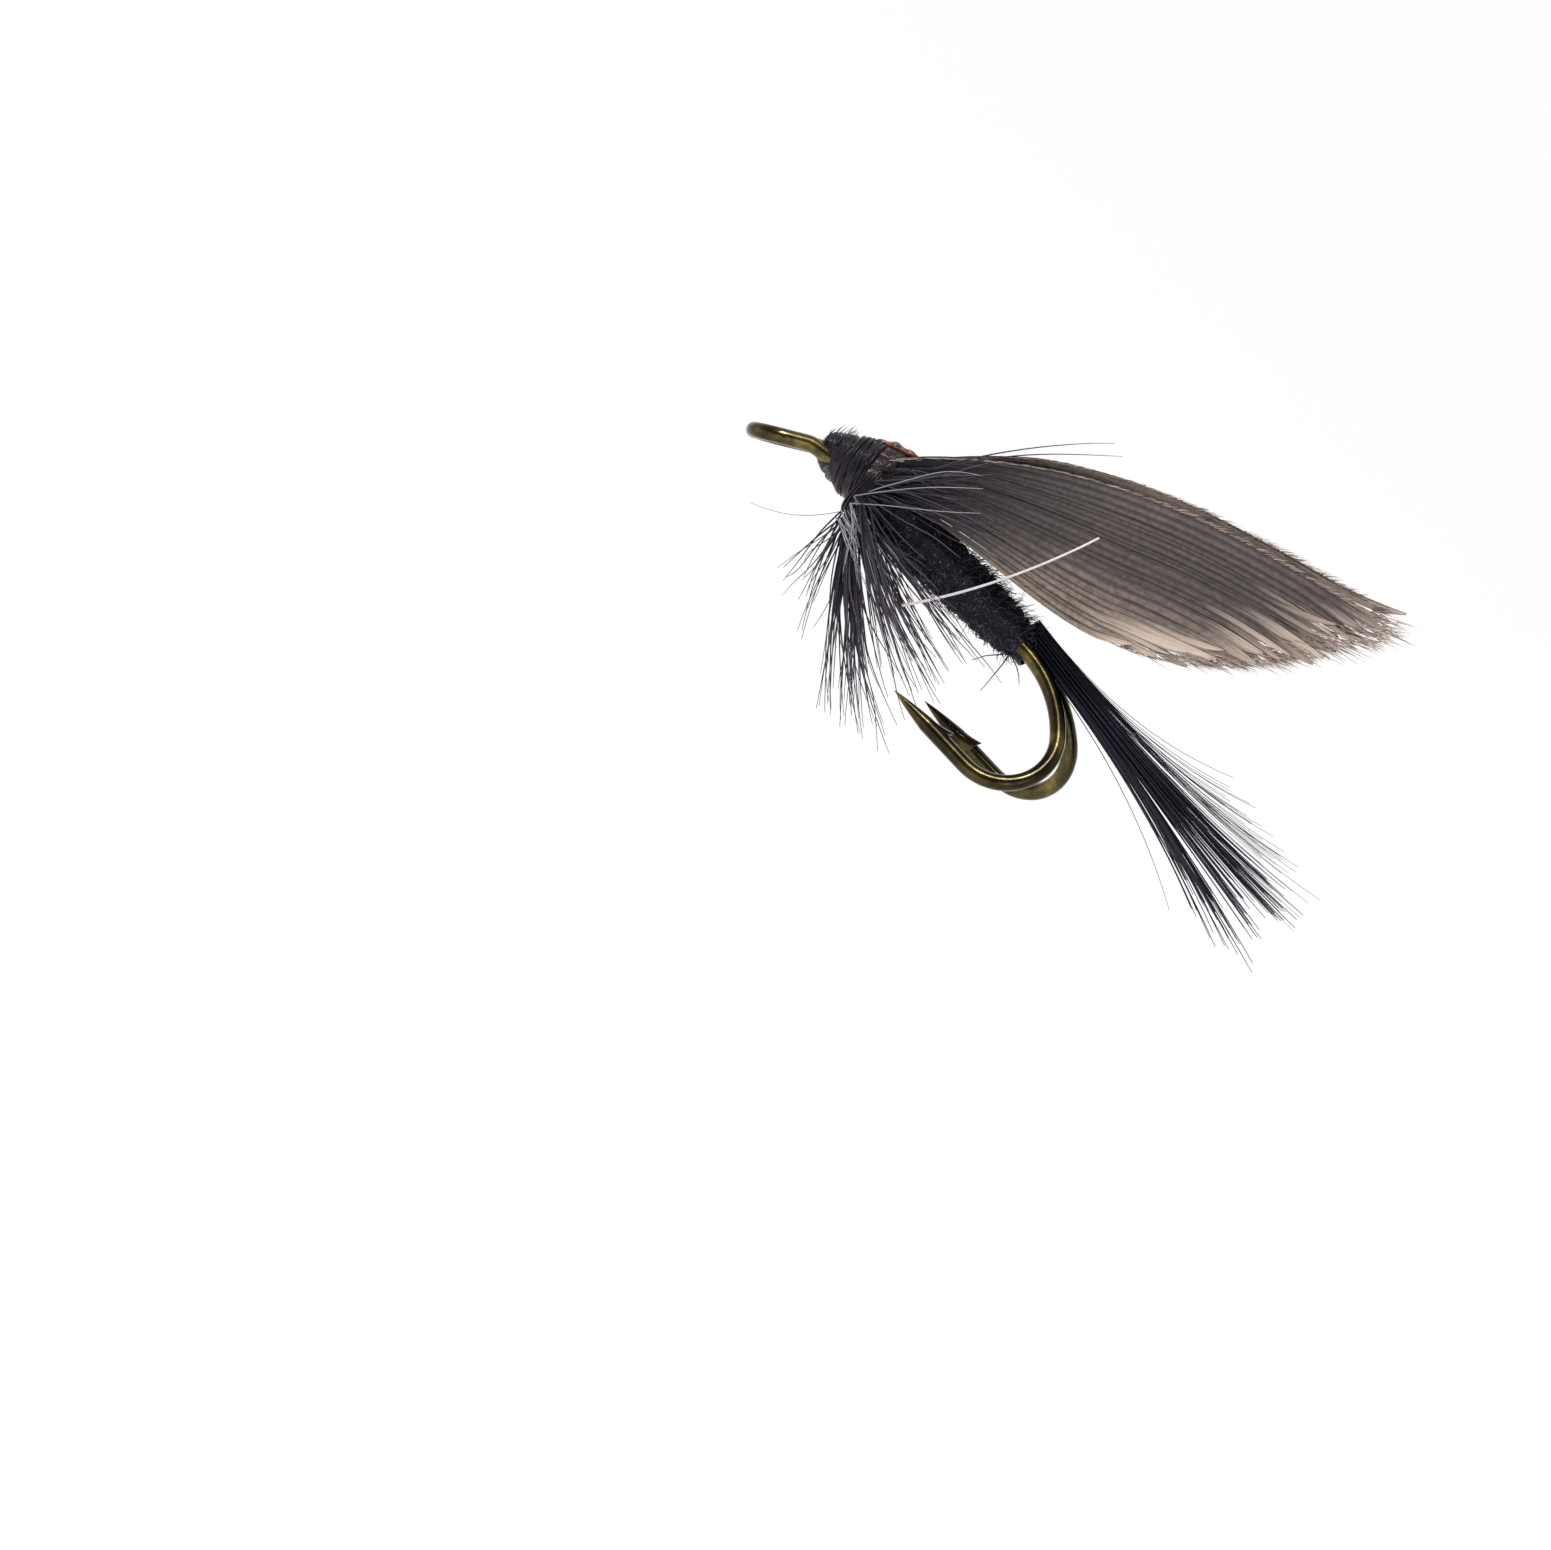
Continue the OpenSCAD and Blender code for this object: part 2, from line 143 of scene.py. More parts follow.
class Build:
    """Gathers the vertices, faces, UVs, tones and shades of one piece, in millimetres."""

    def __init__(self):
        self.verts, self.faces, self.uvs, self.tones, self.shades = [], [], [], [], []
        self.count = 0

    def grid(self, points, tone=0.5, tones=None, shade=0.5):
        """points is (rings, sides, 3): a closed skin of rings joined along, with a cap at each end."""
        rings, sides, _ = points.shape
        flat = points.reshape(-1, 3)
        u = np.linspace(0, 1, rings)
        v = np.linspace(0, 1, sides)
        uv = np.stack(np.meshgrid(u, v, indexing="ij"), -1).reshape(-1, 2)
        index = np.arange(rings * sides).reshape(rings, sides)
        ahead = np.roll(index, -1, axis=1)
        quads = np.stack([index[:-1], index[1:], ahead[1:], ahead[:-1]], -1).reshape(-1, 4)
        middle = flat.mean(axis=0)
        a, b, c, d = (flat[quads[:, k]] - middle for k in range(4))
        volume = (a * np.cross(b, c)).sum() + (a * np.cross(c, d)).sum()
        caps = [index[0], index[-1][::-1]]
        if volume < 0:
            quads = quads[:, ::-1]
            caps = [cap[::-1] for cap in caps]
        self.verts.append(flat)
        self.uvs.append(uv)
        self.tones.append(np.full(len(flat), tone) if tones is None else np.asarray(tones).reshape(-1))
        self.shades.append(np.broadcast_to(shade, len(flat)))
        self.faces.extend((quads + self.count).tolist())
        self.faces.extend((cap + self.count).tolist() for cap in caps)
        self.count += len(flat)

    def tube(self, path, radius, sides=6, ref=None, tone=0.5, flat=1.0):
        """A closed tube along path; ref steers its sides, flat squeezes it along ref."""
        path = np.asarray(path, float)
        t = unit(np.gradient(path, axis=0))
        if ref is None:
            ref = np.cross(t.mean(axis=0), [0.31, 0.87, 0.42])
        ref = np.broadcast_to(ref, path.shape)
        n = unit(ref - (ref * t).sum(1, keepdims=True) * t)
        b = np.cross(t, n)
        a = np.linspace(0, 2 * math.pi, sides, endpoint=False)
        r = np.broadcast_to(radius, len(path))[:, None, None]
        ring = flat * np.cos(a)[None, :, None] * n[:, None] + np.sin(a)[None, :, None] * b[:, None]
        self.grid(path[:, None] + r * ring, tone=tone)

    def piece(self, name, material):
        mesh = bpy.data.meshes.new(name)
        verts = np.concatenate(self.verts) * MM
        mesh.from_pydata(verts.tolist(), [], self.faces)
        uv = mesh.uv_layers.new(name="UVMap")
        loops = np.empty(len(mesh.loops), int)
        mesh.loops.foreach_get("vertex_index", loops)
        uv.data.foreach_set("uv", np.concatenate(self.uvs)[loops].astype(np.float32).ravel())
        for layer_name, values in (("tone", self.tones), ("shade", self.shades)):
            layer = mesh.attributes.new(layer_name, "FLOAT", "POINT")
            layer.data.foreach_set("value", np.concatenate(values).astype(np.float32))
        mesh.polygons.foreach_set("use_smooth", [True] * len(mesh.polygons))
        mesh.materials.append(material)
        mesh.validate()
        mesh.update()
        obj = bpy.data.objects.new(name, mesh)
        bpy.context.scene.collection.objects.link(obj)
        return obj


# ---------------------------------------------------------------- materials

class Shader:
    """A Principled material and short calls for its nodes."""

    def __init__(self, name, **fixed):
        self.mat = bpy.data.materials.new(name)
        self.mat.use_nodes = True
        self.tree = self.mat.node_tree
        self.bsdf = self.tree.nodes["Principled BSDF"]
        for socket, value in fixed.items():
            self.bsdf.inputs[socket.replace("_", " ")].default_value = value

    def node(self, kind, inputs=None, **settings):
        n = self.tree.nodes.new(kind)
        for key, value in settings.items():
            setattr(n, key, value)
        for key, value in (inputs or {}).items():
            if isinstance(value, bpy.types.NodeSocket):
                self.tree.links.new(value, n.inputs[key])
            else:
                n.inputs[key].default_value = value
        return n

    def uv(self):
        return self.node("ShaderNodeTexCoord").outputs["UV"]

    def place(self):
        return self.node("ShaderNodeTexCoord").outputs["Object"]

    def scaled(self, vector, scale):
        return self.node("ShaderNodeMapping", {"Vector": vector, "Scale": scale}).outputs[0]

    def along(self):
        return self.node("ShaderNodeSeparateXYZ", {"Vector": self.uv()}).outputs[0]

    def across(self):
        v = self.node("ShaderNodeSeparateXYZ", {"Vector": self.uv()}).outputs[1]
        return self.math("FRACT", v)

    def layer(self, name):
        return self.node("ShaderNodeAttribute", attribute_name=name).outputs["Fac"]

    def noise(self, vector, scale, detail=3.0, rough=0.55):
        return self.node("ShaderNodeTexNoise", {"Vector": vector, "Scale": scale, "Detail": detail,
                                                "Roughness": rough}).outputs["Fac"]

    def ramp(self, fac, *stops):
        n = self.node("ShaderNodeValToRGB", {"Fac": fac})
        ramp = n.color_ramp
        while len(ramp.elements) < len(stops):
            ramp.elements.new(0.5)
        for element, (pos, colour) in zip(ramp.elements, stops):
            element.position = pos
            element.color = (*colour, 1) if isinstance(colour, tuple) else (colour, colour, colour, 1)
        return n.outputs["Color"]

    def mix(self, fac, a, b, blend="MIX"):
        n = self.node("ShaderNodeMix", data_type="RGBA", blend_type=blend)
        for key, value in ((0, fac), (6, a), (7, b)):
            if isinstance(value, bpy.types.NodeSocket):
                self.tree.links.new(value, n.inputs[key])
            else:
                n.inputs[key].default_value = (*value, 1) if isinstance(value, tuple) else value
        return n.outputs[2]

    def math(self, op, a, b=0.0, c=0.0):
        n = self.node("ShaderNodeMath", {0: a, 1: b, 2: c}, operation=op)
        return n.outputs[0]

    def to(self, socket, value):
        self.tree.links.new(value, self.bsdf.inputs[socket])

    def bump(self, height, strength, distance):
        n = self.node("ShaderNodeBump", {"Height": height, "Strength": strength, "Distance": distance})
        self.to("Normal", n.outputs[0])


def bronze():
    """Bronzed steel: near-black olive with clouds of gold where the lacquer is thin."""
    s = Shader("bronzed_wire", Metallic=1.0)
    p = s.place()
    cloud = s.noise(p, 700, 3)
    fine = s.noise(p, 7000, 3)
    lacquer = s.ramp(cloud, (0.38, (0.022, 0.018, 0.010)), (0.56, (0.060, 0.048, 0.020)),
                     (0.74, (0.20, 0.155, 0.050)))
    s.to("Base Color", s.mix(s.ramp(fine, (0.45, 0.0), (0.75, 0.5)), lacquer, (0.016, 0.013, 0.009)))
    s.to("Roughness", s.ramp(fine, (0.2, 0.14), (0.8, 0.30)))
    s.bump(fine, 0.15, 0.00001)
    return s.mat


def fibre(name, dark, light, rough=0.4, gloss=0.16):
    """One hair each: its tone picks the tint, and it pales towards its thin end."""
    s = Shader(name, Specular_IOR_Level=gloss)
    streak = s.noise(s.scaled(s.uv(), (60, 3, 1)), 1, 3)
    tip = s.ramp(s.along(), (0.0, 0.0), (0.5, 0.12), (1.0, 0.75))
    tint = s.math("MULTIPLY", s.layer("tone"), 0.9)
    streaked = s.math("MULTIPLY", s.math("ADD", tip, tint), s.ramp(streak, (0.3, 0.35), (0.7, 1.0)))
    s.to("Base Color", s.mix(streaked, dark, light))
    s.to("Roughness", s.ramp(streak, (0.2, rough - 0.12), (0.8, rough + 0.18)))
    s.bump(s.noise(s.scaled(s.uv(), (160, 4, 1)), 1, 2), 0.4, 0.00001)
    return s.mat


def wool():
    s = Shader("dubbed_wool", Specular_IOR_Level=0.12)
    p = s.place()
    fluff = s.noise(p, 4200, 5, 0.7)
    # painted glints: rare pale bluish specks mixed into the wool's colour in place of highlights
    painted_glint = s.noise(p, 11000, 2)
    base = s.ramp(fluff, (0.3, (0.002, 0.002, 0.004)), (0.6, (0.008, 0.008, 0.014)),
                  (0.8, (0.03, 0.03, 0.048)))
    s.to("Base Color", s.mix(s.ramp(painted_glint, (0.66, 0.0), (0.74, 0.8)), base, (0.16, 0.17, 0.24)))
    s.to("Roughness", s.ramp(fluff, (0.3, 0.4), (0.7, 0.9)))
    s.bump(fluff, 0.9, 0.00006)
    return s.mat


def thread(name, dark, light, gloss):
    s = Shader(name, Specular_IOR_Level=gloss, Coat_Weight=gloss, Coat_Roughness=0.12)
    strands = s.noise(s.scaled(s.uv(), (900, 5, 1)), 1, 3)
    cloud = s.noise(s.place(), 900, 3)
    s.to("Base Color", s.mix(s.ramp(cloud, (0.5, 0.0), (0.72, 0.7)),
                             s.ramp(strands, (0.3, dark), (0.8, light)), (0.022, 0.012, 0.012)))
    s.to("Roughness", s.ramp(strands, (0.2, 0.24), (0.8, 0.45)))
    s.bump(strands, 0.5, 0.00002)
    return s.mat


def varnish():
    """Varnish soaked into black thread: dark, wet-looking and slightly uneven, with pale specks painted into its
    colour as painted glints.
    """
    s = Shader("black_varnish", Specular_IOR_Level=0.16, Coat_Weight=0.05, Coat_Roughness=0.04)
    p = s.place()
    ripple = s.noise(p, 1900, 4)
    tint = s.ramp(ripple, (0.3, (0.004, 0.003, 0.006)), (0.6, (0.010, 0.007, 0.011)),
                  (0.8, (0.035, 0.020, 0.020)))
    brown = s.math("MULTIPLY", s.layer("shade"), 0.5)
    # painted glints: pale specks in the colour that stand in for highlights
    painted_glint = s.ramp(s.noise(p, 3300, 3), (0.70, 0.0), (0.74, 1.0))
    s.to("Base Color", s.mix(brown, s.mix(painted_glint, tint, (0.5, 0.5, 0.56)), (0.05, 0.027, 0.020)))
    s.to("Roughness", s.ramp(s.noise(p, 6000, 2), (0.3, 0.08), (0.7, 0.26)))
    s.bump(s.math("ADD", ripple, s.math("MULTIPLY", s.noise(p, 5200, 3), 0.5)), 1.0, 0.00012)
    return s.mat


def cement():
    s = Shader("red_brown_cement", Coat_Weight=0.5, Coat_Roughness=0.08)
    p = s.place()
    cloud = s.noise(p, 2600, 5)
    s.to("Base Color", s.ramp(cloud, (0.36, (0.02, 0.008, 0.007)), (0.52, (0.11, 0.022, 0.010)),
                              (0.72, (0.34, 0.085, 0.028))))
    s.to("Roughness", s.ramp(cloud, (0.3, 0.2), (0.8, 0.5)))
    s.bump(s.noise(p, 5000, 3), 0.6, 0.00006)
    return s.mat


def quill(name, palette):
    """Feather web: thin dark lines between barbs, streaks along them, paler low down and at the ends."""
    root, web_dark, web_light, low_light, cream = palette
    s = Shader(name, Specular_IOR_Level=0.22)
    across, along = s.across(), s.along()
    streak = s.noise(s.scaled(s.uv(), (7, 5, 1)), 1, 5, 0.7)
    barbule = s.noise(s.scaled(s.place(), (5200, 5200, 5200)), 1, 3)
    web = s.mix(s.ramp(streak, (0.30, 0.0), (0.70, 1.0)), web_dark, web_light)
    low = s.math("MULTIPLY", s.layer("shade"), s.ramp(streak, (0.35, 0.40), (0.62, 1.0)))
    web = s.mix(low, web, low_light)
    near = s.ramp(along, (0.08, 1.0), (0.46, 0.0))
    web = s.mix(near, web, root)
    speck = s.ramp(barbule, (0.25, 0.55), (0.75, 1.25))
    web = s.mix(1.0, web, speck, "MULTIPLY")
    rib = s.ramp(across, (0.0, 0.95), (0.12, 0.85), (0.28, 0.0), (1.0, 0.0))
    rib = s.math("MULTIPLY", rib, s.ramp(streak, (0.3, 1.0), (0.8, 0.6)))
    ribbed = s.mix(rib, web, (0.014, 0.011, 0.012))
    ragged = s.math("MULTIPLY", s.math("ADD", s.layer("tone"), s.math("MULTIPLY", streak, 0.30)), 0.7)
    ends = s.ramp(ragged, (0.70, 0.0), (0.84, 0.85))
    s.to("Base Color", s.mix(ends, ribbed, cream))
    s.to("Roughness", s.ramp(streak, (0.2, 0.38), (0.8, 0.62)))
    s.bump(s.math("ADD", s.math("MULTIPLY", barbule, 0.5), streak), 0.35, 0.00003)
    return s.mat


def floor_material():
    """Nearly white, with a slight glow so that it renders as a white ground."""
    s = Shader("pale_floor", Specular_IOR_Level=0.0, Emission_Color=(1, 0.99, 1, 1), Emission_Strength=0.25)
    cloud = s.noise(s.place(), 3, 2)
    s.to("Base Color", s.ramp(cloud, (0.3, (0.95, 0.945, 0.95)), (0.7, (0.965, 0.96, 0.965))))
    s.to("Roughness", s.ramp(s.noise(s.place(), 8, 2), (0.3, 0.8), (0.7, 0.9)))
    return s.mat


BRONZE = bronze()
HACKLE = fibre("black_hackle", (0.003, 0.0027, 0.0055), (0.085, 0.070, 0.092))
TAIL = fibre("tail_hackle", (0.002, 0.0022, 0.006), (0.022, 0.021, 0.036), 0.34, 0.12)
FUZZ = fibre("dubbing_fuzz", (0.003, 0.003, 0.006), (0.075, 0.071, 0.095), 0.5, 0.1)
# pale grey copy of the hackle: painted highlights on the throat fibres
PAINTED_HIGHLIGHT = fibre("painted_highlight_fibres", (0.10, 0.10, 0.125), (0.34, 0.33, 0.37), 0.3, 0.5)
PALE = fibre("pale_stray", (0.40, 0.36, 0.38), (0.62, 0.57, 0.58), 0.4, 0.3)
FRINGE = fibre("quill_fringe", (0.15, 0.115, 0.10), (0.50, 0.40, 0.34), 0.5)
WOOL = wool()
THREAD = thread("tying_thread", (0.004, 0.003, 0.006), (0.012, 0.009, 0.015), 0.10)
VARNISH = varnish()
CEMENT = cement()
QUILL = quill("grey_quill", ((0.009, 0.008, 0.012), (0.036, 0.029, 0.028), (0.090, 0.072, 0.067),
                             (0.26, 0.20, 0.16), (0.47, 0.375, 0.31)))



# ---------------------------------------------------------------- hook

def turn_points(centre, u, v, r, a0, a1, n):
    a = np.linspace(a0, a1, n)[:, None]
    return centre + r * (np.cos(a) * u + np.sin(a) * v)


def hook_line(side):
    """Centre line of one hook from the end of its shank to its point."""
    hang = np.array([0, side * math.sin(SPLAY), -math.cos(SPLAY)])
    c1 = np.array([SHANK_END, side * SHANK_Y, SHANK_Z]) + BEND_R1 * hang
    arc1 = turn_points(c1, -hang, AFT, BEND_R1, 0, BEND_TURN1, 26)
    c2 = c1 + (BEND_R1 - BEND_R2) * (math.cos(BEND_TURN1) * -hang + math.sin(BEND_TURN1) * AFT)
    total = BEND_TURN1 + BEND_TURN2
    arc2 = turn_points(c2, -hang, AFT, BEND_R2, BEND_TURN1, total, 34)[1:]
    out = math.cos(total) * AFT + math.sin(total) * hang
    runs = np.linspace(0, SPEAR_LEN + POINT_LEN, 60)[1:]
    return np.concatenate([arc1, arc2, arc2[-1] + runs[:, None] * out]), hang


def eye_points():
    """The loop of the eye and the two ends of its neck."""
    aft = np.array([math.cos(EYE_TILT), 0, math.sin(EYE_TILT)])
    a0 = math.pi / 2 - DRAW_IN
    loop = turn_points(EYE, aft, -PORT, EYE_R, a0, a0 + math.pi + 2 * DRAW_IN, 60)
    run = STRAND_RUN * (math.cos(DRAW_IN) * aft + math.sin(DRAW_IN) * PORT)
    neck = loop[0] + run
    return neck, loop, neck * MIRROR_Y


def run_along(points):
    """Distance along a line at each of its points."""
    return np.concatenate([[0], np.cumsum(np.linalg.norm(np.diff(points, axis=0), axis=1))])


def smooth_line(points, step):
    """Spreads points evenly along a line and eases its corners."""
    points = np.asarray(points, float)
    d = run_along(points)
    s = np.linspace(0, d[-1], max(8, int(d[-1] / step)))
    line = np.stack([np.interp(s, d, points[:, k]) for k in range(3)], 1)
    for _ in range(6):
        line[1:-1] = (line[:-2] + 2 * line[1:-1] + line[2:]) / 4
    return line


def make_hook():
    """One wire from point to point: bend, shank, eye, shank, bend."""
    near, hang0 = hook_line(-1)
    far, hang1 = hook_line(1)
    neck0, loop, neck1 = eye_points()
    start = np.array([SHANK_START, -SHANK_Y, SHANK_Z])
    line = np.concatenate([near[::-1], [start, neck0], loop, [neck1, start * MIRROR_Y], far])
    line = smooth_line(line, 0.06)
    t = unit(np.gradient(line, axis=0))
    run = run_along(line)
    tip = np.minimum(run, run[-1] - run)
    radius = np.maximum(WIRE_R * np.clip(tip / POINT_LEN, 0.0, 1.0) ** 0.75, POINT_R)
    n = [unit(np.cross(t[0], [0, 1, 0]))]
    for i in range(1, len(line)):
        n.append(unit(n[-1] - (n[-1] @ t[i]) * t[i]))
    n = np.array(n)
    b = np.cross(t, n)
    sides = 20
    a = np.linspace(0, 2 * math.pi, sides, endpoint=False)
    ring = np.cos(a)[None, :, None] * n[:, None] + np.sin(a)[None, :, None] * b[:, None]
    points = line[:, None] + radius[:, None, None] * ring
    # the barb: a sliver lifted on the inner side, sharp towards the bend
    first = run < run[-1] / 2
    inward = np.where(first[:, None], -hang0, -hang1)
    facing = np.clip((ring * inward[:, None]).sum(-1), 0, 1) ** 3
    back = np.where(first, 1.0, -1.0)[:, None, None] * t[:, None]
    rise = np.clip((tip - (BARB_BACK - BARB_LEN)) / BARB_LEN, 0, 1) * (tip < BARB_BACK)
    lift = (rise ** 1.6 * BARB_H)[:, None] * facing
    points += lift[..., None] * (inward[:, None] + 0.8 * back)
    made = Build()
    made.grid(points)
    return made.piece("bronze_double_hook", BRONZE)


# ---------------------------------------------------------------- fibres

def bent_path(root, heading, towards, length, curl, points):
    """A fibre that starts along heading and eases towards another direction."""
    s = np.linspace(0, 1, points)[:, None]
    turn = unit(np.asarray(heading) * (1 - curl * s) + np.asarray(towards) * curl * s)
    steps = turn[:-1] * length / (points - 1)
    return np.concatenate([[root], root + np.cumsum(steps, axis=0)])


def taper(points, r0, r1, power=0.8):
    """Radii from r0 at the root to r1 at the tip."""
    s = np.linspace(0, 1, points)
    return r1 + (r0 - r1) * (1 - s) ** power


def bow(root, end, sag, points=15, wander=0.0):
    """A fibre from root to end, bowed sideways by sag and wandering a little."""
    root, end = np.asarray(root, float), np.asarray(end, float)
    s = np.linspace(0, 1, points)[:, None]
    path = (1 - s) ** 2 * root + 2 * s * (1 - s) * ((root + end) / 2 + sag) + s * s * end
    swing = np.sin(math.pi * s * rng.uniform(1.2, 2.8) + rng.uniform(0, 6))
    return path + wander * swing * s * rng.normal(size=3)


def seen_at(x, z, y):
    """The point at depth y that the camera sees where it would see (x, 0, z)."""
    return np.array([x - y * math.tan(VIEW_AZ), y, z - y * math.tan(VIEW_EL) * math.cos(VIEW_AZ)])


HOOK_LINES = [hook_line(side)[0][::2] for side in (-1, 1)]


def clear_of_hook(path):
    nearest = min(np.linalg.norm(path[2:, None] - line[None], axis=2).min() for line in HOOK_LINES)
    return nearest > WIRE_R + HACKLE_CLEARANCE


def clump(made, fall, aside, psi, count, share, spread=0.26, root_r=0.050):
    """Fibres that cling together.

    fall is their angle below the shank, aside the angle out of its plane, both in degrees,
    and psi is where on the shank they are bound, in radians from its top.
    """
    down, out = math.radians(fall), math.radians(aside)
    aim = np.array([math.cos(down) * math.cos(out), math.sin(out), -math.sin(down) * math.cos(out)])
    ring = np.array([0, -math.sin(psi), math.cos(psi)])
    bend = rng.uniform(-0.02, 0.14)
    for _ in range(count):
        root = np.array([HACKLE_X + rng.uniform(-0.3, 0.25), 0, SHANK_Z])
        root = root + ring * HACKLE_R * rng.uniform(0.9, 1.1)
        root = root + 0.10 * rng.normal(size=3) * (0, 1, 1)
        length = np.interp(fall, HACKLE_FALL, HACKLE_REACH) * share * rng.uniform(0.8, 1.0)
        end = root + aim * length + spread * rng.normal(size=3)
        sag = (ring * 0.7 - AFT * 0.5) * length * (bend + 0.03 * rng.normal())
        path = bow(root, end, sag, 15, 0.10)
        if path[:, 2].min() > LOWEST and clear_of_hook(path):
            made.tube(path, taper(15, root_r * rng.uniform(0.7, 1.1), 0.010, 0.9), 5,
                      tone=1.2 * rng.random() ** 3)


def make_beard():
    """The fibres below: swept clumps, a few steep ones, and three that stray forward."""
    made = Build()
    for _ in range(27):
        fall = rng.uniform(15, 56)
        clump(made, fall, rng.uniform(-14, 14), math.pi + rng.uniform(-0.5, 0.5), rng.integers(2, 5),
              rng.uniform(0.62, 1.06))
    for fall in (66, 71, 77, 84):
        for _ in range(2):
            clump(made, fall + rng.uniform(-3, 3), rng.uniform(-16, 16), math.pi, 2,
                  rng.uniform(0.75, 1.05), 0.2, 0.04)
    for x, z, r in ((0.9, -2.5, 0.013), (3.1, -3.3, 0.024), (4.0, -3.9, 0.034)):
        root = (HACKLE_X, -0.2, SHANK_Z - HACKLE_R)
        path = bow(root, seen_at(x, z, -0.9), (0.3, 0, -0.4), 15, 0.05)
        made.tube(path, taper(15, r, 0.007), 5, tone=0.6)
    return made


def make_side(side):
    """The fibres of one side: along the body, short over the top, and up over the wing's root."""
    made = Build()
    for _ in range(21):
        fall = rng.uniform(-4, 44)
        psi = -side * math.radians(rng.uniform(95, 150))
        clump(made, fall, side * rng.uniform(6, 30), psi, rng.integers(2, 4), rng.uniform(0.40, 0.85))
    for _ in range(30):
        psi = -side * math.radians(rng.uniform(0, 80))
        clump(made, rng.uniform(-50, -20), side * rng.uniform(4, 14), psi, 3,
              rng.uniform(0.14, 0.34), 0.12, 0.034)
    for _ in range(15):
        clump(made, rng.uniform(-52, -14), side * rng.uniform(8, 16),
              -side * math.radians(rng.uniform(60, 100)), rng.integers(2, 4),
              rng.uniform(0.25, 0.62), 0.18, 0.038)
    return made


def make_kinks():
    """Three short hairs under the end of the body, and two long ones over the wing."""
    made = Build()
    for x, z in ((10.35, -0.7), (11.4, -1.2), (12.3, -0.1)):
        path = bow((11.3, -0.35, 0.5), seen_at(x, z, -0.8), (0.1, 0, 0.15), 9, 0.04)
        made.tube(path, taper(9, 0.030, 0.012), 5, tone=0.3)
    for x, z in ((8.67, 8.25), (9.15, 8.1)):
        path = bow(seen_at(4.6, 2.9, -1.1), seen_at(x, z, -0.6), (-0.35, 0, 0.45), 15, 0.03)
        made.tube(path, taper(15, 0.036, 0.008), 5, tone=0.5)
    return made


def make_painted_highlights():
    """Hackle fibres at the throat in pale grey: painted highlights where the fibres catch the light."""
    made = Build()
    for _ in range(24):
        fall = math.radians(rng.uniform(5, 62))
        root = np.array([HACKLE_X + rng.uniform(-0.1, 0.5), -1.12 - 0.1 * rng.random(),
                         rng.uniform(-0.5, 0.6)])
        end = root + rng.uniform(0.7, 3.4) * np.array([math.cos(fall), -0.28, -math.sin(fall)])
        path = bow(root, end, 0.12 * rng.normal(size=3), 9, 0.05)
        made.tube(path, taper(9, 0.026, 0.009), 5, tone=rng.random())
    reach = 3.9
    for rise in (math.radians(36), math.radians(49), math.radians(56)):
        end = seen_at(3.8 + reach * math.cos(rise), 0.8 + reach * math.sin(rise), -2.1)
        root = (3.6 + 0.3 * rng.random(), -1.35, rng.uniform(-0.2, 1.1))
        path = bow(root, end, (-0.1, -0.3, rng.uniform(-0.1, 0.7)), 13, 0.15)
        made.tube(path, taper(13, 0.024, 0.010), 5, tone=0.4)
    return made


def make_pale_stray():
    """One stout pale fibre that lies across the body and the left slip."""
    made = Build()
    path = bow(seen_at(7.3, -1.1, -2.5), seen_at(10.6, 5.5, -2.6), (0.45, -0.1, -0.35), 17)
    made.tube(path, taper(17, 0.05, 0.04), 6, tone=0.5)
    return made


def tail_fibre(a, r, length, offset, stray):
    """One fibre at angle a of the bundle: straight at first, then opening out by r."""
    s = np.linspace(0, 1, TAIL_POINTS)[:, None]
    aim = math.cos(TAIL_DROOP) * AFT - math.sin(TAIL_DROOP) * UP
    core = np.array([0, TAIL_CORE[0] * math.sin(a), TAIL_CORE[1] * math.cos(a)]) * offset
    fan = np.array([0, TAIL_FAN[0] * math.sin(a), TAIL_FAN[1] * math.cos(a)]) * r
    return TAIL_ROOT + core + aim * length * s + fan * s ** 2.5 + stray * s ** 1.6


def make_tail():
    """A tight bundle that opens into clumped strands over its rear half."""
    made = Build()
    for k in range(TAIL_STRANDS):
        a = 2 * math.pi * (k + 0.3 * rng.random()) / TAIL_STRANDS
        r = rng.uniform(0.35, 1.0)
        reach = TAIL_LEN * rng.uniform(0.80, 1.0)
        for _ in range(rng.integers(6, 10)):
            stray = 0.12 * rng.normal(size=3) * (0, 1, 1)
            path = tail_fibre(a, r, reach * rng.uniform(0.86, 1.0), rng.uniform(0.3, 1.0), stray)
            radii = taper(TAIL_POINTS, rng.uniform(0.045, 0.060), 0.012, 0.75)
            made.tube(path, radii, 5, tone=rng.uniform(0, 0.6))
    for _ in range(46):
        a = rng.normal() * 0.5
        path = tail_fibre(a, rng.uniform(0.7, 1.1), TAIL_LEN * rng.uniform(0.6, 0.98), 1.15,
                          np.array([0, 0.5, 0.35 * rng.random()]))
        made.tube(path, taper(TAIL_POINTS, 0.016, 0.008), 4, tone=rng.uniform(0.6, 1.0))
    low_stray = tail_fibre(math.pi, 1.05, TAIL_LEN * 0.72, 1.0, np.zeros(3))
    made.tube(low_stray, taper(TAIL_POINTS, 0.022, 0.008), 5, tone=0.4)
    return made


# ---------------------------------------------------------------- wing

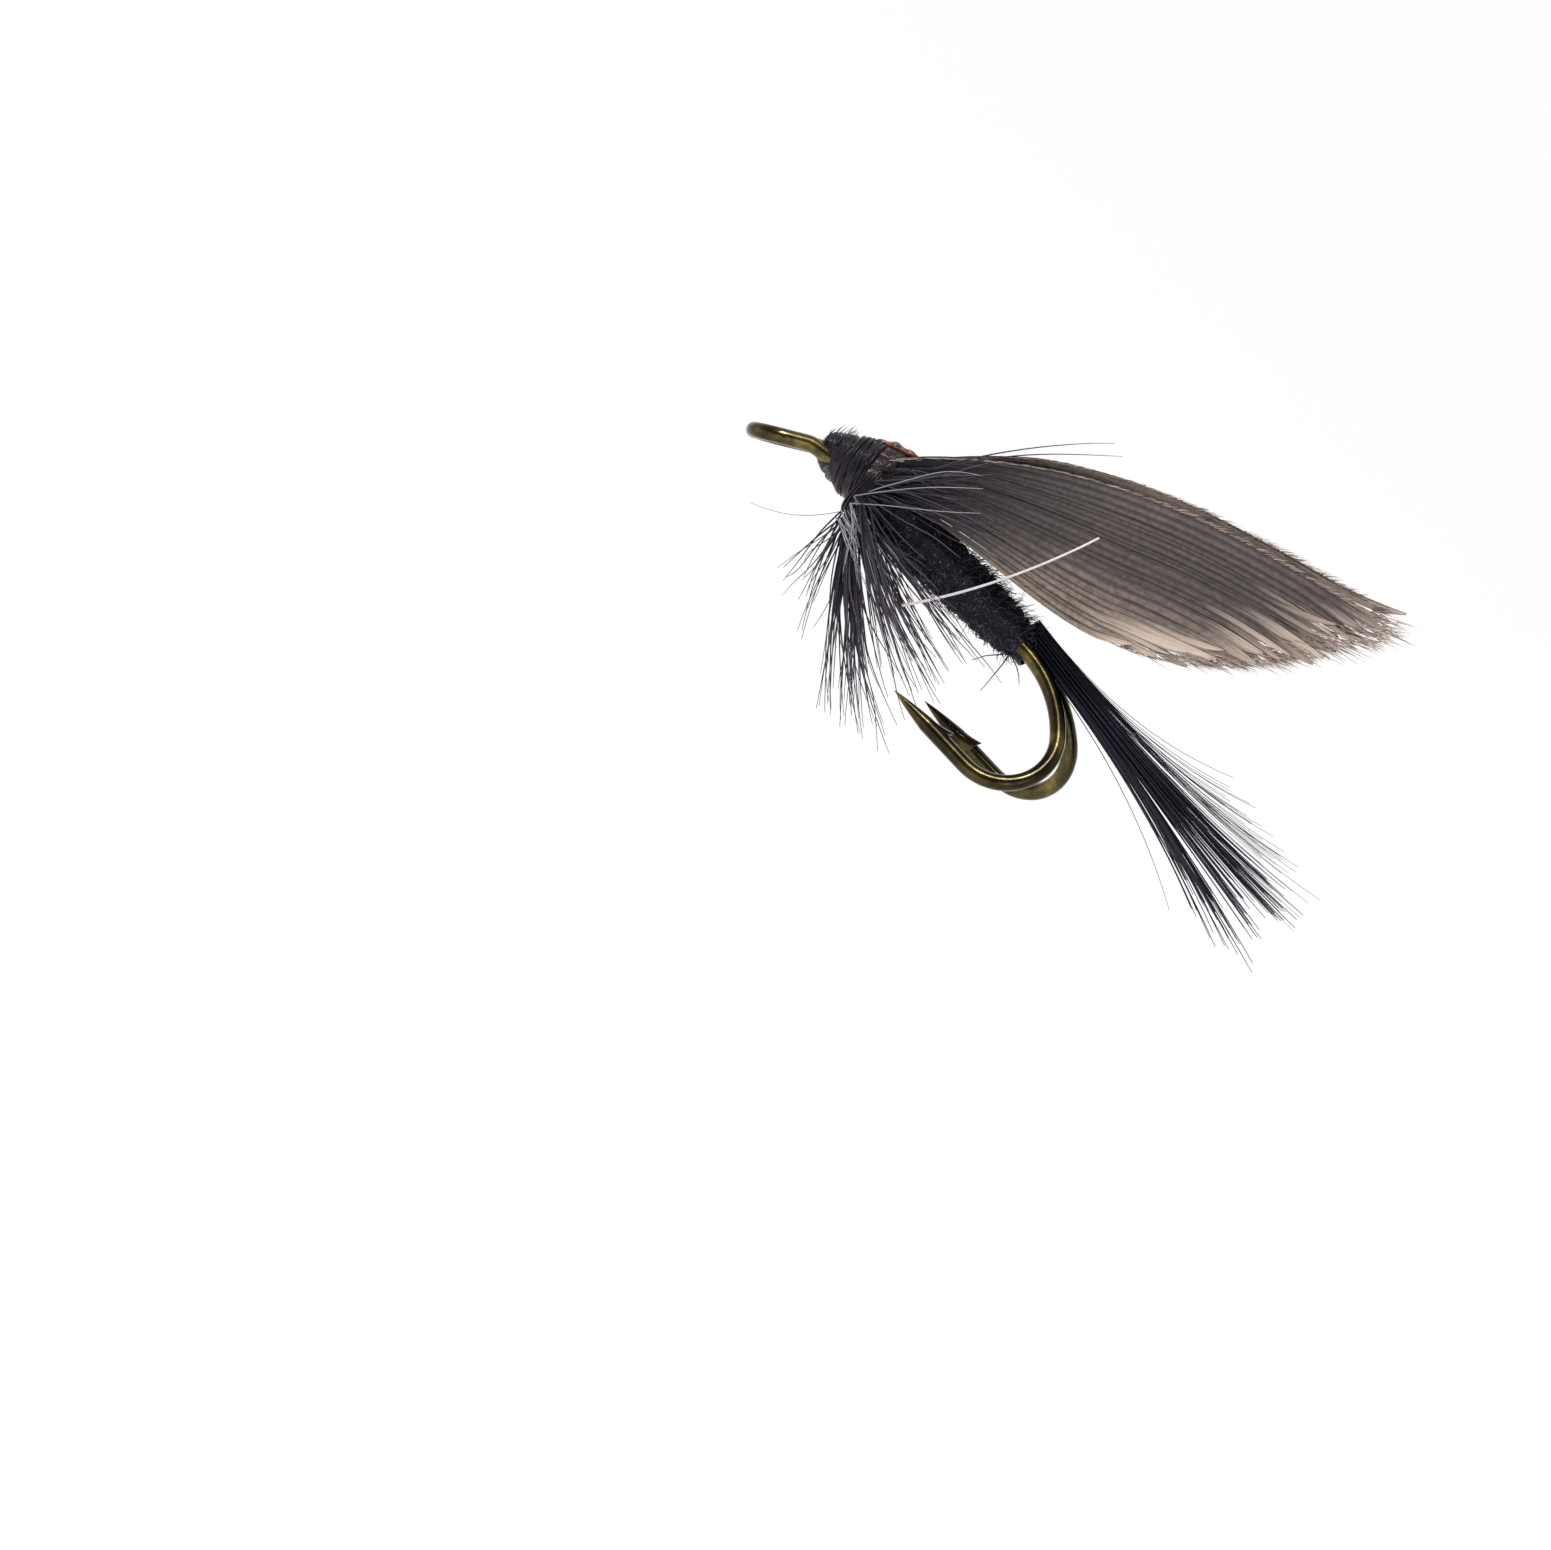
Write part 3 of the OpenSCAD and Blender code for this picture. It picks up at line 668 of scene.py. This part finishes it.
def wing_frame(local):
    """From the slip's own frame, x along it and z up, to the row frame."""
    c, s = math.cos(WING_RISE), math.sin(WING_RISE)
    x, y, z = local[..., 0], local[..., 1], local[..., 2]
    return WING_ROOT + np.stack([x * c - z * s, y, x * s + z * c], -1)


def top_edge(t):
    """Height of a slip's top edge at share t of its length, in the slip's own frame."""
    return 1.6 * np.sin(math.pi * t ** 0.82) + 0.47 * t


def low_edge(t):
    """Height of its low edge: wide at the root, deepest past the middle."""
    return -1.3 * (1 - t) ** 5 - 3.4 * np.sin(math.pi * t ** 1.22)


def sheet_y(z):
    """How far out the bowed slip lies at height z."""
    chord = math.hypot(SLIP_LEAN, SLIP_DROP)
    reach = math.sqrt(SLIP_BOW_R ** 2 - chord ** 2 / 4)
    cy = RIDGE_GAP / 2 + SLIP_LEAN / 2 - reach * SLIP_DROP / chord
    cz = RIDGE_H - SLIP_DROP / 2 - reach * SLIP_LEAN / chord
    return cy + np.sqrt(np.maximum(SLIP_BOW_R ** 2 - (z - cz) ** 2, 0))


def slip_width(t):
    """Width that the barbs share, which stops changing where the slip is widest."""
    widest = 0.5
    return top_edge(np.minimum(t, widest)) - low_edge(np.minimum(t, widest))


def barb_end(v):
    """Share of the length at which the barb at share v of the width meets the low edge."""
    t = np.linspace(0.5, 1.0, 200)
    inside = top_edge(t) - v * slip_width(t) >= low_edge(t)
    return t[inside][-1] if inside.any() else 0.55


def make_slip(side, seed, lift, pale_top):
    """One slip: barbs laid edge over edge like clapboard, free of each other near their ends.

    The barbs within share pale_top of the ridge are paler.
    """
    local_rng = np.random.default_rng(seed)
    made = Build()
    profile = np.array([0.0, 0.07, 0.16, 0.26, 0.5, 0.8, 1.14])
    height = np.array([0.010, 0.035, 0.038, 0.014, 0.004, 0.0, -0.014])
    across = np.concatenate([profile, profile[::-1]]) / 1.16
    s = np.linspace(0, 1, BARB_RINGS)
    free = np.clip((s - 0.84) / 0.16, 0, 1) ** 1.6
    narrow = 1 - 0.75 * np.clip((s - 0.93) / 0.07, 0, 1) ** 1.6
    edges = np.concatenate([[0], np.cumsum(local_rng.uniform(0.55, 1.45, WING_BARBS))])
    edges /= edges[-1]
    ragged = 0.0
    for i in range(WING_BARBS):
        v0, v1 = edges[i], edges[i + 1]
        ragged = 0.6 * ragged + local_rng.uniform(-0.022, 0.022)
        end = barb_end((v0 + v1) / 2) + ragged - WING_START
        t = WING_START + (end - WING_START) * s
        stray_z = free * local_rng.normal() * 0.15
        stray_y = free * local_rng.uniform(-0.05, 0.20)
        wave = 0.018 * np.sin(s * local_rng.uniform(5, 9) + local_rng.uniform(0, 6))
        width = slip_width(t) * (v1 - v0)
        z = (top_edge(t) - v0 * slip_width(t))[:, None] - (width * narrow)[:, None] * profile
        z = z + (stray_z + wave)[:, None]
        y = sheet_y(z) + stray_y[:, None]
        x = np.broadcast_to((WING_LEN * t)[:, None], z.shape)
        pinch = np.clip(t / 0.10, 0, 1)[:, None] ** 0.8
        raised = z + (lift * np.clip(t / 0.25, 0, 1))[:, None]
        outer = np.stack([x, y * (0.45 + 0.55 * pinch) + height, raised], -1)
        inner = outer - PORT * BARB_THICK
        ring = np.concatenate([outer, inner[:, ::-1]], axis=1)
        ring[..., 1] *= side
        low = np.clip((v0 - 0.5) / 0.3, 0, 1) * np.clip((s - 0.18) / 0.4, 0, 1)
        if pale_top and v0 < pale_top:
            low = np.maximum(low, 0.9 * np.clip(s / 0.2, 0, 1))
        low = low * local_rng.uniform(0.6, 1.1)
        tones = np.repeat(s + 0.10 * (v0 > 0.7) + 0.05 * local_rng.normal(), ring.shape[1])
        made.grid(wing_frame(ring), tones=tones, shade=np.repeat(low, ring.shape[1]))
        made.uvs[-1][:, 1] = np.tile(across, BARB_RINGS) + i
    return made


def make_fringe(side, seed, lift):
    """Short pale barbules along the ridge and the low edge of a slip, and its frayed end."""
    local_rng = np.random.default_rng(seed)
    made = Build()
    for _ in range(620):
        top = local_rng.random() < 0.72
        t = local_rng.uniform(0.0, 0.97) if top else local_rng.uniform(0.3, 0.85)
        z = top_edge(t) if top else low_edge(t)
        raised = z + (-0.05 if top else 0.05) + lift * min(t / 0.25, 1)
        root = np.array([WING_LEN * t, side * (sheet_y(z) + 0.01), raised])
        lean = np.array([local_rng.uniform(1.5, 2.6), 0.25 * local_rng.normal(), 0.6 if top else -0.25])
        path = bent_path(root, unit(lean), [1, 0, 0], local_rng.uniform(0.2, 0.6), 0.5, 5)
        made.tube(wing_frame(path), taper(5, 0.012, 0.004), 4, tone=local_rng.random())
    for _ in range(320):
        v = local_rng.random()
        t = barb_end(v) - local_rng.uniform(0.0, 0.06)
        z = top_edge(t) - v * slip_width(t)
        y = sheet_y(z) + local_rng.uniform(-0.03, 0.05)
        root = np.array([WING_LEN * t, side * y, z + lift])
        lean = np.array([1.0, 0.10 * local_rng.normal(), 0.16 * local_rng.normal()])
        path = bent_path(root, unit(lean), [1, 0, -0.1], local_rng.uniform(0.4, 1.1), 0.5, 6)
        made.tube(wing_frame(path), taper(6, 0.020, 0.005), 4, tone=local_rng.random())
    return made


# ---------------------------------------------------------------- body and head

def body_radius(t):
    """Radius of the body at share t of its length, fullest near the front."""
    full = BODY_R_END + (BODY_R - BODY_R_END) * np.sin(math.pi * np.clip(0.2 + 0.8 * t, 0, 1)) ** 0.7
    return full * (1 - 0.25 * t * (1 - t)) * (1 - 0.1 * t)


def make_body():
    """Dubbing wound as one rope, with a felted skin."""
    made = Build()
    rings, sides = 230, 64
    t = np.linspace(0, 1, rings)[:, None]
    a = np.linspace(0, 2 * math.pi, sides, endpoint=False)[None]
    turn = BODY_TURNS * 2 * math.pi * t - a
    rope = ROPE_DEPTH * (np.abs(np.cos(turn / 2)) ** 0.7 - 0.5)
    lumps = LUMP_DEPTH * np.sin(3 * a + 9 * t) * np.sin(17 * t + a)
    cap = np.sqrt(np.clip(np.minimum(t / 0.03, (1 - t) / 0.08), 0, 1))
    r = (body_radius(t) + rope + lumps) * (0.6 + 0.4 * cap) + FELT_DEPTH * rng.normal(size=(rings, sides))
    x = BODY_START + (BODY_END - BODY_START) * t
    pts = np.stack([np.broadcast_to(x, r.shape), -r * np.sin(a), SHANK_Z + 0.03 + r * np.cos(a)], -1)
    made.grid(pts)
    return made


def on_body(t, a, sink=0.05):
    """A point just under the body's skin, and the way out from there."""
    out = np.array([0, -math.sin(a), math.cos(a)])
    centre_line = np.array([BODY_START + (BODY_END - BODY_START) * t, 0, SHANK_Z])
    return centre_line + out * (body_radius(t) - sink), out


def make_fuzz():
    """Loose hairs: short curls, small loops and a halo over the body's rear, and a few on the head."""
    made = Build()
    for i in range(1000):
        t, a = rng.random(), rng.uniform(0, 2 * math.pi)
        root, out = on_body(t, a)
        lean = unit(out * 0.8 + 0.8 * rng.normal(size=3) + 0.5 * AFT)
        length = rng.uniform(0.15, 0.5) if i % 40 else rng.uniform(0.7, 1.4)
        path = bent_path(root, lean, unit(AFT + 0.8 * rng.normal(size=3)), length, 0.9, 7)
        made.tube(path, taper(7, 0.016, 0.006), 4, tone=rng.random() ** 2)
    s = np.linspace(0, 1, 9)[:, None]
    for _ in range(420):
        root, out = on_body(rng.random(), rng.uniform(0, 2 * math.pi), 0.02)
        along = unit(rng.normal(size=3))
        path = root + out * 0.14 * np.sin(math.pi * s) + along * rng.uniform(0.2, 0.4) * (s - 0.5)
        made.tube(path, 0.012, 4, tone=rng.uniform(0.3, 1.4))
    for _ in range(460):
        root, out = on_body(rng.uniform(0.5, 1.0), rng.normal() * 0.8)
        lean = unit(out + 0.45 * rng.normal(size=3) + 0.5 * AFT)
        path = bent_path(root, lean, unit(AFT + rng.normal(size=3)), rng.uniform(0.3, 0.8), 0.8, 7)
        made.tube(path, taper(7, 0.011, 0.005), 4, tone=rng.uniform(0.1, 0.8))
    for _ in range(40):
        t, a = rng.uniform(0.0, 0.4), rng.normal() * 0.6
        root = head_point(np.array(t), np.array(a), np.array(head_radius(t)))
        lean = unit([-0.3, 0.6 * rng.normal(), 1.0])
        path = bent_path(root, lean, [1, 0, 0.4], rng.uniform(0.2, 0.5), 0.5, 6)
        made.tube(path, taper(6, 0.012, 0.005), 4, tone=rng.random())
    return made


HEAD_AXIS = np.array([math.cos(HEAD_LEAN), 0, math.sin(HEAD_LEAN)])
HEAD_UP = np.array([-math.sin(HEAD_LEAN), 0, math.cos(HEAD_LEAN)])
HEAD_BASE = np.array([HEAD_START, 0, HEAD_Z])


def head_radius(t):
    return HEAD_R_FRONT + (HEAD_R_REAR - HEAD_R_FRONT) * np.clip(t, 0, 1) ** 0.75


def head_point(t, a, r):
    """Point at share t of the head's length, angle a round it and radius r."""
    out = np.cos(a)[..., None] * HEAD_UP - np.sin(a)[..., None] * PORT
    return HEAD_BASE + (HEAD_LEN * t)[..., None] * HEAD_AXIS + r[..., None] * out


def make_head_skin(grow, t0=0.0, t1=1.0, lump=0.0, ridge=0.0):
    """A skin grow outside the head, uneven by lump and ridged by the thread under it."""
    made = Build()
    rings, sides = 220, 72
    t = np.broadcast_to(np.linspace(t0, t1, rings)[:, None], (rings, sides))
    a = np.broadcast_to(np.linspace(0, 2 * math.pi, sides, endpoint=False)[None], (rings, sides))
    edge = np.sqrt(np.clip(np.minimum((t - t0) / 0.05, (t1 - t) / 0.10), 0, 1))
    bumps = lump * (np.sin(5 * a + 7 * t) * np.sin(13 * t + 2 * a) + 0.5 * np.sin(9 * a - 20 * t))
    turns = ridge * np.sin(2 * math.pi * 21 * t - a + 1.2 * np.sin(2 * a + 3 * t))
    r = (head_radius(t) + grow + bumps + turns) * (0.35 + 0.65 * edge)
    brown = np.clip(-np.cos(a), 0, 1) * np.clip(1.1 - t * 1.3, 0, 1)
    made.grid(head_point(t, a, r), shade=brown.reshape(-1))
    return made


def make_cement():
    """A narrow uneven run of cement from the top of the head to the wing's root."""
    made = Build()
    path = root_run(0.03, -0.06)
    s = np.linspace(0, 1, len(path))
    blunt = np.sqrt(np.sin(math.pi * (0.04 + 0.92 * s)))
    made.tube(path, blunt * (0.24 + 0.06 * np.sin(17 * s)), 16, ref=(-0.3, 0, 1), flat=0.6)
    return made


def root_run(lift, swing):
    """A line from the top of the head back to the wing's ridge."""
    share = np.linspace(0.70, 0.98, 14)
    on_head = head_point(share, swing + 0.10 * np.sin(9 * share), head_radius(share) + lift)
    ridge = wing_frame(np.array([0.75, 0, top_edge(0.04) + lift]))
    return smooth_line(np.concatenate([on_head, [ridge]]), 0.05)


def make_shoulder():
    """Varnished thread that fills in between the head and the wing's root."""
    made = Build()
    for swing in (-1.15, -0.75, -0.35, 0.0, 0.35, 0.75, 1.15):
        path = root_run(-0.42, swing) - 0.35 * abs(swing) * UP
        s = np.linspace(0, 1, len(path))
        made.tube(path, 0.16 + 0.26 * np.sin(math.pi * (0.1 + 0.85 * s)), 14)
    return made


def wound(turns, t0, t1, lift, wobble, reverse):
    """Thread wound on the head from share t0 to t1, crossing itself a little."""
    steps = int(turns * 40)
    s = np.linspace(0, 1, steps)
    a = 2 * math.pi * turns * s * (-1 if reverse else 1)
    t = t0 + (t1 - t0) * s + wobble * np.sin(a * 0.37 + 1.3) * np.sin(math.pi * s)
    t = t + 0.35 * wobble * np.sin(a + 2 * np.sin(a * 0.21))
    return head_point(t, a, head_radius(t) * 0.985 - 0.06 + lift)


def make_head_thread():
    """Four layers of turns, each over the last and looser than it."""
    made = Build()
    layers = [(19, 0.02, 0.97, 0.03, 0.03, False), (11, 0.94, 0.05, 0.06, 0.06, True),
              (6, 0.15, 0.90, 0.10, 0.10, False), (3.5, 0.95, 0.35, 0.14, 0.12, True)]
    for layer in layers:
        made.tube(wound(*layer), THREAD_R, 7, ref=HEAD_AXIS, tone=0.3)
    return made


def ring_wraps(x0, x1, radius, turns):
    """Turns of thread round the shank."""
    made = Build()
    s = np.linspace(0, 1, int(turns * 36))
    a = 2 * math.pi * turns * s
    r = radius + 0.02 * np.sin(a * 0.31)
    path = np.stack([x0 + (x1 - x0) * s, -r * np.sin(a), SHANK_Z + r * np.cos(a)], -1)
    made.tube(path, THREAD_R, 7, ref=AFT)
    return made


# ---------------------------------------------------------------- assembly

def add(piece, nodes, body=None, blend=None):
    """Hangs a piece from the body that carries it, or with blend leaves it unparented with its place baked into
    its mesh, and hides the CAD nodes it stands for.
    """
    if blend:
        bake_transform(piece)
    else:
        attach(piece, body)
    if nodes:
        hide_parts(*nodes)


def metres(point):
    return tuple(float(c) * MM for c in point)


def pivot_of(joint):
    return np.array(JOINTS[joint]["pos_m"]) / MM


add(make_hook(), ["hook_wire"], "hook")
add(make_body().piece("dubbed_body", WOOL), ["body_dubbing"], "hook")
add(make_fuzz().piece("body_fuzz", FUZZ), [], "hook")
add(make_head_skin(-0.10).piece("head_core", THREAD), ["head_wraps"], "hook")
add(make_head_thread().piece("head_thread", THREAD), ["whip_finish_wraps"], "hook")
add(make_head_skin(0.03, 0.02, 1.0, 0.05, 0.012).piece("varnish_coat", VARNISH),
    ["head_varnish"], "hook")
add(make_cement().piece("cement_run", CEMENT), ["head_cement"], "hook")
add(make_shoulder().piece("root_varnish", VARNISH), [], "hook")
add(ring_wraps(**HACKLE_WRAPS).piece("hackle_tie_thread", THREAD),
    ["hackle_binding_wraps"], "hook")
add(ring_wraps(**TAIL_WRAPS).piece("tail_tie_thread", THREAD),
    ["tail_binding_wraps"], "hook")

tail_pivot = pivot_of("tail_flex")
add(make_tail().piece("tail_hackle", TAIL), ["tail_fibres"],
    blend=("hook", "tail", metres(tail_pivot - 0.2 * AFT), metres(tail_pivot + 4 * AFT)))

add(make_beard().piece("beard_hackle", HACKLE), ["hackle_beard"], "hook")
for word, side in (("left", -1), ("right", 1)):
    add(make_side(side).piece(f"{word}_hackle", HACKLE), [f"hackle_{word}"], "hook")
add(make_kinks().piece("kinked_hairs", HACKLE), [], "hook")
# pale grey throat fibres: painted highlights
add(make_painted_highlights().piece("throat_painted_highlights", PAINTED_HIGHLIGHT), [], "hook")
add(make_pale_stray().piece("pale_stray_fibre", PALE), [], "hook")

wing_x = np.array([math.cos(WING_RISE), 0, math.sin(WING_RISE)])
slips = (("left", -1, 5, 0.0, 0.0), ("right", 1, 9, RIGHT_SLIP_LIFT, 0.10))
for word, side, seed, lift, pale_top in slips:
    pivot = pivot_of(f"wing_{word}_splay")
    bend = ("wing_root", f"wing_{word}", metres(pivot - 0.3 * wing_x), metres(pivot + 5 * wing_x))
    slip = make_slip(side, seed, lift, pale_top).piece(f"{word}_wing_barbs", QUILL)
    add(slip, [f"wing_slip_{word}", f"wing_base_{word}"], blend=bend)
    fringe = make_fringe(side, seed + 1, lift).piece(f"{word}_wing_fringe", FRINGE)
    add(fringe, [], blend=bend)

kept = {"thread_underbody": THREAD, "wing_binding_wraps": THREAD, "tail_butts": HACKLE,
        "hackle_butts": HACKLE, "wing_butt_left": QUILL, "wing_butt_right": QUILL, "braze_seam": BRONZE}
for node, material in kept.items():
    frame["nodes"][node].data.materials.clear()
    frame["nodes"][node].data.materials.append(material)

# ---------------------------------------------------------------- stage, light and camera

FRAME_W = 54.3 * MM
CAMERA_DISTANCE = 1.0
SENSOR = 36.0
EYE_ABOVE_CENTRE = 11.835 * MM
EYE_RIGHT_OF_CENTRE = 0.2276 * MM
FLOOR_DROP, FLOOR_HALF = 60 * MM, 6.0
LIGHT_FRONT, LIGHT_REAR = 0.30, 1.25

back = Vector((math.sin(VIEW_AZ) * math.cos(VIEW_EL), -math.cos(VIEW_AZ) * math.cos(VIEW_EL),
               math.sin(VIEW_EL)))
level = Vector((math.cos(VIEW_AZ), math.sin(VIEW_AZ), 0))
upright = back.cross(level)
right = math.cos(VIEW_ROLL) * level + math.sin(VIEW_ROLL) * upright
up = back.cross(right)
camera_data = bpy.data.cameras.new("camera")
camera_data.sensor_width = SENSOR
camera_data.lens = SENSOR * CAMERA_DISTANCE / FRAME_W
camera_data.clip_start, camera_data.clip_end = 0.01, 50
camera = bpy.data.objects.new("camera", camera_data)
bpy.context.scene.collection.objects.link(camera)
centre = Vector(EYE * MM) - EYE_ABOVE_CENTRE * up - EYE_RIGHT_OF_CENTRE * right
camera.matrix_world = Matrix.Translation(centre + back * CAMERA_DISTANCE) @ Matrix(
    (right, up, back)).transposed().to_4x4()
bpy.context.scene.camera = camera

low_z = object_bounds()[0][2] - FLOOR_DROP
floor_mesh = bpy.data.meshes.new("floor")
corners = [(x * FLOOR_HALF, y * FLOOR_HALF, low_z) for x, y in ((-1, -1), (1, -1), (1, 1), (-1, 1))]
floor_mesh.from_pydata(corners, [], [(0, 1, 2, 3)])
floor = bpy.data.objects.new("floor", floor_mesh)
floor_mesh.materials.append(floor_material())
bpy.context.scene.collection.objects.link(floor)

world = bpy.data.worlds.new("studio")
bpy.context.scene.world = world
world.use_nodes = True
nodes, links = world.node_tree.nodes, world.node_tree.links
# brighter behind the fly than in front of it, so that its dark parts stay dark
split = nodes.new("ShaderNodeSeparateXYZ")
links.new(nodes.new("ShaderNodeTexCoord").outputs["Generated"], split.inputs[0])
span = nodes.new("ShaderNodeMapRange")
for key, value in zip((1, 2, 3, 4), (-0.9, 0.9, LIGHT_FRONT, LIGHT_REAR)):
    span.inputs[key].default_value = value
links.new(split.outputs[1], span.inputs[0])
links.new(span.outputs[0], nodes["Background"].inputs[1])
nodes["Background"].inputs[0].default_value = (1.0, 0.995, 1.0, 1)


def area_light(name, place, size, power):
    """A round soft light that faces the middle of the fly."""
    data = bpy.data.lights.new(name, "AREA")
    data.shape = "DISK"
    data.size = size
    data.energy = power
    lamp = bpy.data.objects.new(name, data)
    bpy.context.scene.collection.objects.link(lamp)
    middle = (cad_box[0] + cad_box[1]) / 2
    lamp.location = middle + Vector(place)
    lamp.rotation_euler = (middle - lamp.location).to_track_quat("-Z", "Y").to_euler()


area_light("key", (-0.10, -0.16, 0.22), 0.07, 0.85)
area_light("fill", (0.20, -0.25, 0.05), 0.20, 0.25)
bpy.context.scene.view_settings.view_transform = "Standard"
